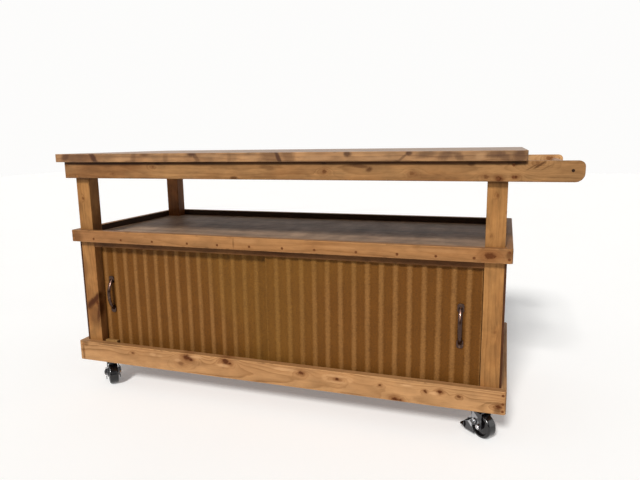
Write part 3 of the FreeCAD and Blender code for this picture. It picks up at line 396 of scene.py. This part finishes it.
# stains and knots on the top's front edge: along, height, half width, half
# height, depth, slant
EDGE_Y = -0.3422
EDGE_MARKS = [(-0.802, 0.846, 0.020, 0.016, 0.70, 0.4),
              (-0.748, 0.845, 0.062, 0.030, 0.55, 0.0),
              (-0.560, 0.839, 0.040, 0.007, -0.30, 0.0),
              (-0.230, 0.847, 0.060, 0.008, -0.30, 0.0),
              (-0.095, 0.841, 0.030, 0.009, -0.30, 0.2),
              (0.120, 0.840, 0.050, 0.008, -0.35, 0.0),
              (0.300, 0.838, 0.050, 0.006, -0.30, 0.0),
              (0.583, 0.843, 0.016, 0.012, -0.45, 0.3),
              (0.372, 0.838, 0.006, 0.016, 0.50, 1.1),
              (-0.683, 0.843, 0.013, 0.040, 0.88, -0.55),
              (-0.522, 0.843, 0.012, 0.030, 0.35, 0.2),
              (-0.478, 0.853, 0.022, 0.008, 0.55, 0.0),
              (-0.398, 0.843, 0.012, 0.030, 0.34, 0.1),
              (-0.303, 0.853, 0.018, 0.009, 0.80, 0.0),
              (-0.286, 0.843, 0.010, 0.024, 0.50, -0.6),
              (-0.168, 0.843, 0.008, 0.030, 0.25, 0.0),
              (-0.030, 0.843, 0.034, 0.040, 0.45, -0.2),
              (-0.004, 0.843, 0.008, 0.040, 0.85, -0.35),
              (0.030, 0.843, 0.020, 0.040, 0.45, -0.3),
              (0.213, 0.851, 0.013, 0.010, 0.80, 0.0),
              (0.391, 0.852, 0.011, 0.008, 0.80, 0.0),
              (0.438, 0.849, 0.030, 0.012, 0.45, 0.6),
              (0.492, 0.846, 0.022, 0.018, 0.50, 0.5),
              (0.528, 0.841, 0.014, 0.014, 0.50, -0.4),
              (0.622, 0.848, 0.026, 0.014, 0.55, 0.5),
              (0.645, 0.840, 0.018, 0.014, 0.50, -0.6),
              (0.684, 0.843, 0.020, 0.030, 0.62, 0.0)]
PLANK_TONE = (1.0, 0.90, 1.05, 0.93, 1.02)

for i in range(5):
    name = "top_plank_%d" % (i + 1)
    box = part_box(name)
    rnd = random.Random(40 + i)
    ymid = (box[0][1] + box[1][1]) / 2
    knots = []
    for j in range(6):
        knots.append(knot(rnd.uniform(-0.78, 0.64), ymid + rnd.uniform(-0.052, 0.052),
                          rnd.uniform(0.003, 0.0095), rnd.uniform(0.6, 0.95)))
    marks = []
    if i == 0:
        marks = [(x, EDGE_Y, z, rx, 0.028, rz, dp, sl)
                 for x, z, rx, rz, dp, sl in EDGE_MARKS]
    tone = PLANK_TONE[i]
    dress(name, wood("Plank_%d" % (i + 1), box, "X", "Z",
                     tuple(c * tone for c in SLAB_E), tuple(c * tone for c in SLAB_L),
                     knots, seed=11 + i, pith=(rnd.uniform(-0.03, 0.03), -0.055),
                     ring=0.0066, rough=0.37, spec=0.36, marks=marks,
                     contrast=0.85, blotch=0.50, smudge=0.36, mottle=0.12,
                     bands=[("X", -0.46, -0.24, (0.86, 0.86, 0.85), 1.0)],
                     seam=(0.0 if i == 0 else 0.9, 0.0 if i == 4 else 0.9)))

FY = -0.327
RAIL_MARKS = [(-0.62, FY, 0.823, 0.150, 0.02, 0.010, 0.35, 0.0),
              (-0.44, FY, 0.824, 0.016, 0.02, 0.007, 0.70, 0.0),
              (-0.27, FY, 0.822, 0.060, 0.02, 0.009, 0.45, 0.0),
              (-0.163, FY, 0.777, 0.014, 0.02, 0.007, 0.75, 0.0),
              (-0.05, FY, 0.812, 0.026, 0.02, 0.010, 0.40, -1.2),
              (0.136, FY, 0.824, 0.012, 0.02, 0.006, 0.55, 0.0),
              (0.245, FY, 0.815, 0.034, 0.02, 0.007, 0.62, -2.2),
              (0.275, FY, 0.806, 0.012, 0.02, 0.009, 0.70, 0.4),
              (0.560, FY, 0.820, 0.012, 0.02, 0.006, 0.60, 0.0),
              (0.676, FY, 0.823, 0.014, 0.02, 0.008, 0.60, 0.0),
              (0.734, FY, 0.818, 0.006, 0.02, 0.012, 0.70, 1.4),
              (0.716, FY, 0.813, 0.004, 0.02, 0.010, 0.50, 1.6),
              (0.752, FY, 0.812, 0.004, 0.02, 0.010, 0.35, 1.8)]
# painted shadow: the wood close under the top is darkened where the top's overhang shades it,
# and the darkening stops where the top ends
UNDER_TOP_PAINTED_SHADOW = ("Z", 0.8160, 0.8240, (0.20, 0.15, 0.11), 1.0, ("X", 0.698, 0.708))
RAIL_LEFT = ("X", -0.30, -0.65, (0.89, 0.87, 0.89), 1.0)
LOW_EDGE = ("Z", 0.7765, 0.7738, (0.62, 0.56, 0.50), 1.0)
# painted light: the rear rail's end beyond the top is made paler and greyer, as if lit where
# the top no longer shades it
REAR_END_PAINTED_LIGHT = ("X", 0.680, 0.760, (1.75, 1.95, 2.30), 1.0)
RAIL_KNOTS = {
    "top_rail_front": [knot(0.138, 0.798, 0.0048, 0.60), knot(0.399, 0.795, 0.0045, 0.42),
                       knot(0.633, 0.781, 0.0050, 0.95), knot(0.675, 0.786, 0.0036, 0.8),
                       knot(-0.46, 0.812, 0.0030, 0.5), knot(-0.62, 0.790, 0.0028, 0.3),
                       knot(0.600, 0.786, 0.0045, 0.5), knot(0.728, 0.825, 0.0048, 0.4, 5.0)],
    "top_rail_rear": [knot(0.799, 0.816, 0.0060, 0.55), knot(0.22, 0.800, 0.006),
                      knot(-0.42, 0.785, 0.004), knot(-0.66, 0.81, 0.006)],
    "top_rail_left": [knot(0.10, 0.80, 0.005), knot(-0.17, 0.79, 0.003)],
    "top_rail_right": [knot(-0.12, 0.795, 0.005), knot(0.19, 0.81, 0.004)],
}
for n_, (name, knots) in enumerate(RAIL_KNOTS.items()):
    long = name.endswith(("front", "rear"))
    dress(name, wood("Rail_%d" % (n_ + 1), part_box(name), "X" if long else "Y",
                     "Y" if long else "X", HONEY_E, HONEY_L, knots, seed=31 + n_,
                     pith=(0.004, 0.062), ring=0.0054, contrast=0.90, smudge=0.34,
                     streak=0.18, mottle=0.07, arris=0.24,
                     bands=([UNDER_TOP_PAINTED_SHADOW, LOW_EDGE, RAIL_LEFT] if n_ == 0 else
                            [UNDER_TOP_PAINTED_SHADOW, REAR_END_PAINTED_LIGHT] if n_ == 1 else [UNDER_TOP_PAINTED_SHADOW]),
                     marks=RAIL_MARKS if n_ == 0 else ()))

TRAY_KNOTS = {
    "tray_board_front": [knot(0.618, 0.568, 0.0090, 0.75, 1.6)],
    "tray_board_rear": [knot(0.30, 0.57, 0.006), knot(-0.33, 0.566, 0.004)],
    "tray_board_left": [knot(0.05, 0.57, 0.004)],
    "tray_board_right": [knot(-0.14, 0.568, 0.005)],
}
TRAY_IN_STAIN_AND_SHADE = {"tray_board_front": ("Y", 1.0, TRAY_STAIN_AND_SHADE), "tray_board_rear": ("Y", -1.0, TRAY_STAIN_AND_SHADE),
           "tray_board_left": ("X", 1.0, TRAY_STAIN_AND_SHADE), "tray_board_right": ("X", -1.0, TRAY_STAIN_AND_SHADE)}
for n_, (name, knots) in enumerate(TRAY_KNOTS.items()):
    long = name.endswith(("front", "rear"))
    dress(name, wood("Tray_%d" % (n_ + 1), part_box(name), "X" if long else "Y",
                     "Y" if long else "X", TRAY_E, TRAY_L, knots, seed=51 + n_,
                     pith=(0.012, 0.055), ring=0.0060, contrast=0.72, smudge=0.10,
                     blotch=0.34, streak=0.20, mottle=0.05, arris=0.42,
                     inner=TRAY_IN_STAIN_AND_SHADE[name],
                     bands=[("X", -0.25, -0.70, (0.86, 0.82, 0.82), 1.0)]
                     if n_ == 0 else (),
                     marks=[(-0.800, FY, 0.566, 0.030, 0.02, 0.030, 0.40),
                            (-0.174, FY, 0.570, 0.0035, 0.02, 0.020, 0.40),
                            (-0.130, FY, 0.578, 0.050, 0.02, 0.010, -0.30),
                            (-0.460, FY, 0.574, 0.080, 0.02, 0.010, -0.22),
                            (0.180, FY, 0.571, 0.090, 0.02, 0.008, -0.22),
                            (0.470, FY, 0.576, 0.090, 0.02, 0.007, -0.28),
                            (0.668, FY, 0.572, 0.010, 0.02, 0.014, 0.55)]
                     if n_ == 0 else ()))

BASE_KNOTS = {
    "base_board_front": [knot(-0.594, 0.149, 0.0030, 0.7), knot(-0.371, 0.158, 0.0085, 1.0),
                         knot(-0.356, 0.151, 0.0050, 0.9), knot(-0.398, 0.133, 0.0075, 0.42),
                         knot(-0.221, 0.161, 0.0076, 1.0), knot(-0.206, 0.154, 0.0040, 0.9),
                         knot(0.050, 0.153, 0.0055, 0.80),
                         knot(0.171, 0.147, 0.0042, 0.95, 4.2),
                         knot(0.310, 0.145, 0.0030, 0.8), knot(0.447, 0.143, 0.0030, 0.85),
                         knot(0.491, 0.148, 0.0045, 1.0), knot(0.547, 0.140, 0.0035, 0.7),
                         knot(0.357, 0.106, 0.0060, 1.0), knot(0.374, 0.104, 0.0038, 0.95),
                         knot(0.657, 0.124, 0.0050, 0.85)],
    "base_board_rear": [knot(-0.50, 0.13, 0.006), knot(0.10, 0.15, 0.007),
                        knot(0.55, 0.12, 0.004), knot(-0.2, 0.145, 0.003)],
    "base_board_left": [knot(0.12, 0.14, 0.006), knot(-0.2, 0.12, 0.003)],
    "base_board_right": [knot(-0.10, 0.13, 0.005), knot(0.17, 0.15, 0.004)],
}
BASE_MARKS = [(-0.70, FY, 0.168, 0.060, 0.02, 0.006, 0.40),
              (-0.226, FY, 0.150, 0.006, 0.02, 0.016, 0.35, 0.4),
              (-0.33, FY, 0.140, 0.040, 0.02, 0.010, 0.22),
              (0.655, FY, 0.112, 0.012, 0.02, 0.012, 0.50),
              (0.22, FY, 0.104, 0.050, 0.02, 0.005, 0.35),
              (0.660, FY, 0.133, 0.090, 0.02, 0.004, 0.30, 3.0),
              (-0.509, FY, 0.152, 0.016, 0.02, 0.008, -0.32),
              (-0.482, FY, 0.150, 0.014, 0.02, 0.006, -0.26),
              (-0.800, FY, 0.162, 0.014, 0.02, 0.012, 0.45),
              (-0.812, FY, 0.130, 0.006, 0.02, 0.040, 0.50),
              (-0.335, FY, 0.163, 0.030, 0.02, 0.006, -0.45),
              (-0.410, FY, 0.143, 0.016, 0.02, 0.007, -0.35),
              (-0.232, FY, 0.144, 0.022, 0.02, 0.006, -0.50),
              (-0.010, FY, 0.158, 0.050, 0.02, 0.006, -0.40),
              (0.168, FY, 0.157, 0.040, 0.02, 0.0050, -0.40),
              (0.170, FY, 0.137, 0.038, 0.02, 0.0050, -0.36),
              (0.214, FY, 0.149, 0.012, 0.02, 0.009, -0.28),
              (0.130, FY, 0.147, 0.010, 0.02, 0.010, -0.28),
              (0.392, FY, 0.155, 0.022, 0.02, 0.0045, -0.60),
              (0.474, FY, 0.141, 0.016, 0.02, 0.006, -0.45)]
for n_, (name, knots) in enumerate(BASE_KNOTS.items()):
    long = name.endswith(("front", "rear"))
    dress(name, wood("Base_%d" % (n_ + 1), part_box(name), "X" if long else "Y",
                     "Y" if long else "X", BASE_E, BASE_L, knots, seed=71 + n_,
                     pith=(-0.018, 0.050), ring=0.0062, contrast=0.90, smudge=0.08,
                     blotch=0.26, streak=0.13, mottle=0.04, arris=0.42,
                     marks=BASE_MARKS if n_ == 0 else ()))

POST_KNOTS = {
    "post_front_left": [knot(0.318, -0.752, 0.0045, 0.7), knot(0.70, -0.775, 0.003, 0.5)],
    "post_front_right": [knot(0.735, 0.630, 0.003, 0.4), knot(0.62, 0.618, 0.003, 0.25),
                         knot(0.34, 0.640, 0.003, 0.22)],
    "post_rear_left": [knot(0.40, -0.77, 0.006), knot(0.68, -0.78, 0.003, 0.2)],
    "post_rear_right": [knot(0.30, 0.63, 0.005)],
}
# a dark slanting streak across the foot of the left post, and the redder wood
# below it
POST_MARKS = [(-0.762, -0.3023, 0.328, 0.021, 0.03, 0.046, 0.92, 1.0),
              (-0.744, -0.3023, 0.300, 0.011, 0.03, 0.062, 0.85, 0.20),
              (-0.768, -0.3023, 0.268, 0.030, 0.03, 0.056, 0.44, 0.0),
              (-0.790, -0.3023, 0.440, 0.010, 0.03, 0.050, 0.25, 0.0)]
# painted shadow: a dark band at the top of each post, just under the rail
POST_TOP_PAINTED_SHADOW = ("Z", 0.7610, 0.7720, (0.38, 0.32, 0.27), 1.0)
for n_, (name, knots) in enumerate(POST_KNOTS.items()):
    rear = n_ > 1
    early, late = POST_E, POST_L
    # painted shade: the rear posts get darker, redder copies of the post colours, as they
    # stand in the top's shadow
    if rear:
        early = tuple(c * g for c, g in zip(early, (0.72, 0.56, 0.46)))
        late = tuple(c * g for c, g in zip(late, (0.72, 0.56, 0.46)))
    dress(name, wood("Post_%d" % (n_ + 1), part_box(name), "Z", "Y", early, late,
                     knots, seed=91 + n_, pith=(0.05, 0.06), ring=0.0056,
                     contrast=0.55, smudge=0.26, streak=0.14, mottle=0.10,
                     arris=0.22, side=("X", 0.88), bands=[POST_TOP_PAINTED_SHADOW],
                     marks=POST_MARKS if n_ == 0 else ()))

dress("push_bar", wood("PushBar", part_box("push_bar"), "Y", "Z", lin(172, 128, 88),
                       lin(142, 96, 58), [], seed=111, pith=(0.03, -0.05),
                       ring=0.0042, arris=0.0, contrast=0.4, rough=0.45, smudge=0.1))

# the deck: grey-brown stained boards, low in contrast
dress("shelf_deck", wood("Deck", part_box("shelf_deck"), "X", "Z", lin(157, 129, 104),
                         lin(108, 82, 65), [knot(0.22, -0.05, 0.007, 0.5),
                                           knot(-0.42, 0.12, 0.005, 0.5)],
                         seed=121, pith=(0.06, -0.05), ring=0.016, contrast=0.60,
                         blotch=0.20, streak=0.38, rough=0.56, arris=0.05, smudge=0.36,
                         knot_col=(0.02, 0.016, 0.013), spec=0.18, coarse=0.30,
                         mottle=0.12))
# the end panels' front faces get the dark colour through inner: painted shade on their front
# edges
for n_, name in enumerate(("cabinet_floor", "end_panel_left", "end_panel_right",
                           "back_panel")):
    thick = "Z" if name == "cabinet_floor" else ("Y" if name == "back_panel" else "X")
    grain = "Z" if name.startswith("end") else "X"
    dress(name, wood("Panel_%d" % (n_ + 1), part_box(name), grain, thick,
                     lin(122, 81, 45), lin(88, 54, 27), [], seed=131 + n_,
                     pith=(0.1, -0.06), ring=0.014, contrast=0.6, arris=0.0,
                     rough=0.55, smudge=0.3,
                     inner=("Y", -1.0, lin(66, 36, 18)) if thick == "X" else None))
# the tracks get dark colours; on the upper track's lip under the tray board this dark colour
# is partly painted shade
for n_, name in enumerate(("door_track_upper", "door_track_lower", "door_stop")):
    stop = name == "door_stop"               # the stop block is raw, paler wood
    dress(name, wood("Track_%d" % (n_ + 1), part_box(name), "X", "Z",
                     lin(160, 119, 70) if stop else lin(100, 65, 34),
                     lin(124, 86, 47) if stop else lin(72, 43, 20), [],
                     seed=141 + n_, pith=(0.05, -0.06), ring=0.005, contrast=0.4,
                     arris=0.08, rough=0.55))
for n_, name in enumerate(("door_board_left", "door_board_right")):
    dress(name, wood("DoorBoard_%d" % (n_ + 1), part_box(name), "X", "Y",
                     lin(74, 46, 23), lin(54, 31, 15), [], seed=151 + n_,
                     pith=(0.1, -0.06), ring=0.009, contrast=0.4, arris=0.0,
                     rough=0.6))


# ------------------------------------------------------------- corrugated sheets
def corrugated_mat(name, node, seed, punch):
    """Brown weathered paint on corrugated sheet: crests paler as rubbed paint and as a
    painted highlight.
    """
    lo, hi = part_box(node)
    mat, t, bsdf, coords = material(name)
    P = coords.outputs["Object"]
    x, y, z = t.sep(P)
    Q = t.v("ADD", P, (seed * 3.1, seed * 1.7, seed * 0.9))
    depth = t.span(y, lo[1] + 0.0002, hi[1] - 0.0014, 1.0, 0.0, False)
    speck = t.noise(Q, 215.0, 4.0, 0.66)
    grit = t.noise(Q, 1400.0, 2.0, 0.6)
    cloud = t.noise(t.v("MULTIPLY", Q, (3.0, 1.0, 2.2)), 1.0, 3.0, 0.55)
    patch = t.noise(t.v("MULTIPLY", Q, (26.0, 1.0, 16.0)), 1.0, 4.0, 0.62)
    drip = t.noise(t.v("MULTIPLY", Q, (70.0, 1.0, 5.0)), 1.0, 3.0, 0.6)
    # crest mask: rubbed paint on the crests, and a painted highlight where they face the
    # light
    crest_wear_and_light = t.m("ADD", depth, t.m("MULTIPLY", t.m("SUBTRACT", drip, 0.5), 0.60))
    crest_wear_and_light = t.m("ADD", crest_wear_and_light, t.m("MULTIPLY", t.m("SUBTRACT", speck, 0.5), 0.55))
    crest_wear_and_light = t.span(crest_wear_and_light, 0.38, 1.12, 0.0, punch)
    # the paint is duller and greener about the middle of the two doors, and the
    # crests stand out less there
    away = t.m("DIVIDE", t.m("ABSOLUTE", t.m("ADD", x, 0.07)), 0.44)
    dull = t.m("ADD", t.m("SUBTRACT", 0.82, away),
               t.m("MULTIPLY", t.m("SUBTRACT", z, 0.36), 1.3))
    dull = t.m("ADD", dull, t.m("MULTIPLY", t.m("SUBTRACT", cloud, 0.5), 1.4))
    olive = t.span(dull, 0.05, 0.75, 0.0, 1.0)
    crest_wear_and_light = t.m("MULTIPLY", crest_wear_and_light, t.span(olive, 0.0, 1.0, 1.0, 0.72, False))
    valley = t.mix(olive, lin(95, 57, 14), lin(101, 65, 19))
    ridge = t.mix(olive, lin(132, 92, 49), lin(128, 91, 43))
    color = t.mix(crest_wear_and_light, valley, ridge)
    gain = t.m("MULTIPLY", t.span(speck, 0.25, 0.75, 0.70, 1.30, False),
               t.span(grit, 0.3, 0.7, 0.93, 1.07, False))
    gain = t.m("MULTIPLY", gain, t.span(patch, 0.3, 0.7, 0.93, 1.07, False))
    color = t.tint(color, gain)
    rust = t.span(t.noise(Q, 60.0, 4.0, 0.65), 0.60, 0.74, 0.0, 0.35)
    color = t.mix(rust, color, lin(74, 42, 18))
    t.put(bsdf.inputs["Base Color"], color)
    t.put(bsdf.inputs["Roughness"], t.span(speck, 0.2, 0.8, 0.58, 0.78, False))
    bsdf.inputs["Specular IOR Level"].default_value = 0.14
    h = t.m("ADD", t.m("MULTIPLY", speck, 0.7), t.m("MULTIPLY", grit, 0.3))
    t.put(bsdf.inputs["Normal"], t.bump(h, 0.5, 0.0005))
    return mat


for n_, side in enumerate(("left", "right")):
    node = "door_sheet_" + side
    dress(node, corrugated_mat("CorrugatedSheet_%d" % (n_ + 1), node, n_ + 2,
                               0.80 if n_ == 0 else 0.76))


# ----------------------------------------------------------------- metal, rubber
def metal(name, base, rough, metallic=1.0, scale=220.0, vary=0.12, wear_and_glint=None,
          wear_and_glint_at=(0.60, 0.72), bump=0.0002, coat=0.0, spec=0.5, ends=()):
    """ends is (from, to, colour) along X: the colour comes in between them."""
    mat, t, bsdf, coords = material(name)
    P = coords.outputs["Object"]
    a = t.noise(P, scale, 3.0, 0.6)
    b = t.noise(P, scale * 0.22, 3.0, 0.55)
    color = t.v("SCALE", base, scale=t.span(a, 0.2, 0.8, 1.0 - vary, 1.0 + vary,
                                            False))
    # pale patches: wear on the pulls and tyres, painted glints on the caster steel and brake
    if wear_and_glint is not None:
        color = t.mix(t.span(b, wear_and_glint_at[0], wear_and_glint_at[1], 0.0, 0.8), color, wear_and_glint)
    for x0, x1, rgb in ends:
        color = t.mix(t.span(t.sep(P)[0], x0, x1, 0.0, 1.0), color, rgb)
    t.put(bsdf.inputs["Base Color"], color)
    t.put(bsdf.inputs["Roughness"],
          t.m("ADD", t.m("MULTIPLY", t.m("SUBTRACT", b, 0.5), 0.22), rough))
    bsdf.inputs["Metallic"].default_value = metallic
    bsdf.inputs["Specular IOR Level"].default_value = spec
    bsdf.inputs["Coat Weight"].default_value = coat
    bsdf.inputs["Coat Roughness"].default_value = 0.08
    t.put(bsdf.inputs["Normal"], t.bump(t.m("ADD", a, b), 0.35, bump))
    return mat


BRONZE = metal("PullBronze", lin(68, 47, 38), 0.26, 1.0, 300.0, 0.15, lin(118, 90, 72),
               (0.58, 0.74), coat=0.35)
SCREW = metal("ScrewSteel", lin(108, 64, 33), 0.65, 0.0, 500.0, 0.25, spec=0.12,
              ends=((-0.735, -0.775, lin(146, 98, 56)), (0.745, 0.770, lin(44, 26, 14))))
BOLT = metal("BoltSteel", lin(205, 204, 206), 0.18, 1.0, 500.0, 0.1)
# the pale patches on the caster steel and brake are painted glints, in place of highlights on
# curved metal
CASTER = metal("CasterSteel", lin(60, 60, 63), 0.13, 1.0, 95.0, 0.20,
               lin(172, 174, 178), (0.57, 0.64), 0.0022, coat=0.8)
BRAKE = metal("BrakeSteel", lin(70, 70, 73), 0.12, 1.0, 95.0, 0.20,
              lin(214, 217, 221), (0.55, 0.61), 0.0026, coat=0.8)
RUBBER = metal("WheelTread", lin(13, 11, 12), 0.15, 0.0, 180.0, 0.20, lin(26, 23, 24),
               (0.60, 0.78), 0.0002, spec=0.55)

dress("wood_screws", SCREW)
dress("caster_screws", BOLT)
for side in ("left", "right"):
    dress("door_pull_" + side, BRONZE)
    dress("door_pull_screws_" + side, SCREW)
for tag in ("fl", "fr", "rl", "rr"):
    dress("caster_plate_" + tag, CASTER)
    dress("caster_fork_" + tag, CASTER)
    dress("caster_brake_" + tag, BRAKE)
    dress("caster_axle_" + tag, BOLT)
    dress("caster_wheel_" + tag, RUBBER)


# ------------------------------------------------------------------------- stage
def floor():
    mat, t, bsdf, coords = material("FloorPale")
    a = t.noise(coords.outputs["Object"], 1.4, 3.0, 0.5)
    t.put(bsdf.inputs["Base Color"], t.mix(a, (0.86, 0.86, 0.86), (0.90, 0.90, 0.90)))
    bsdf.inputs["Roughness"].default_value = 0.8
    bsdf.inputs["Specular IOR Level"].default_value = 0.15
    bsdf.inputs["Emission Color"].default_value = (1.0, 1.0, 1.0, 1.0)
    bsdf.inputs["Emission Strength"].default_value = 0.20
    me = bpy.data.meshes.new("floor")
    s = 14.0
    me.from_pydata([(-s, -s, 0), (s, -s, 0), (s, s, 0), (-s, s, 0)], [],
                   [(0, 1, 2, 3)])
    me.materials.append(mat)
    o = bpy.data.objects.new("floor", me)
    bpy.context.scene.collection.objects.link(o)
    return o


floor()
PALE = 0.98          # the backdrop, as bright as the lit floor
AMBIENT = 0.30
world = bpy.data.worlds.new("Studio")
bpy.context.scene.world = world
world.use_nodes = True
w = Tree(world.node_tree)
bg = world.node_tree.nodes["Background"]
bg.inputs[0].default_value = (1.0, 0.995, 0.985, 1.0)
path = w.new("ShaderNodeLightPath")
way = w.new("ShaderNodeTexCoord").outputs["Generated"]
# what shiny surfaces see: the pale backdrop behind the trolley, a dim room in
# front of it, and three softboxes
room = w.span(w.sep(way)[1], -0.12, 0.25, 0.10, 0.88)
for aim, inner_, outer_, much in (((-0.22, -0.79, 0.57), 0.95, 0.88, 3.2),
                                  ((-0.93, -0.22, 0.30), 0.92, 0.80, 1.3),
                                  ((0.93, -0.20, 0.32), 0.93, 0.82, 1.3)):
    box = w.span(w.v("DOT_PRODUCT", way, aim), outer_, inner_, 0.0, much)
    room = w.m("ADD", room, box)
level = w.lerp(path.outputs["Is Glossy Ray"], AMBIENT, room)
w.put(bg.inputs[1], w.lerp(path.outputs["Is Camera Ray"], level, PALE))

# a soft key from straight in front of the doors, 38 degrees up
key = bpy.data.lights.new("Key", "SUN")
key.energy = 3.1
key.angle = math.radians(11.0)
key.color = (1.0, 0.985, 0.955)
key_obj = bpy.data.objects.new("Key", key)
bpy.context.scene.collection.objects.link(key_obj)
key_obj.rotation_euler = (math.radians(90.0 - 38.0), 0.0, math.radians(-4.0))

cam_data = bpy.data.cameras.new("Camera")
cam_data.sensor_width = 36.0
cam_data.lens = 31.0737
cam_data.clip_start = 0.05
cam_data.clip_end = 100.0
cam = bpy.data.objects.new("Camera", cam_data)
bpy.context.scene.collection.objects.link(cam)
cam.location = (0.6502935, -1.8982160, 0.8843715)
cam.rotation_euler = (1.395962840, 0.014044391, 0.322238288)
bpy.context.scene.camera = cam
bpy.context.scene.view_settings.view_transform = "Standard"
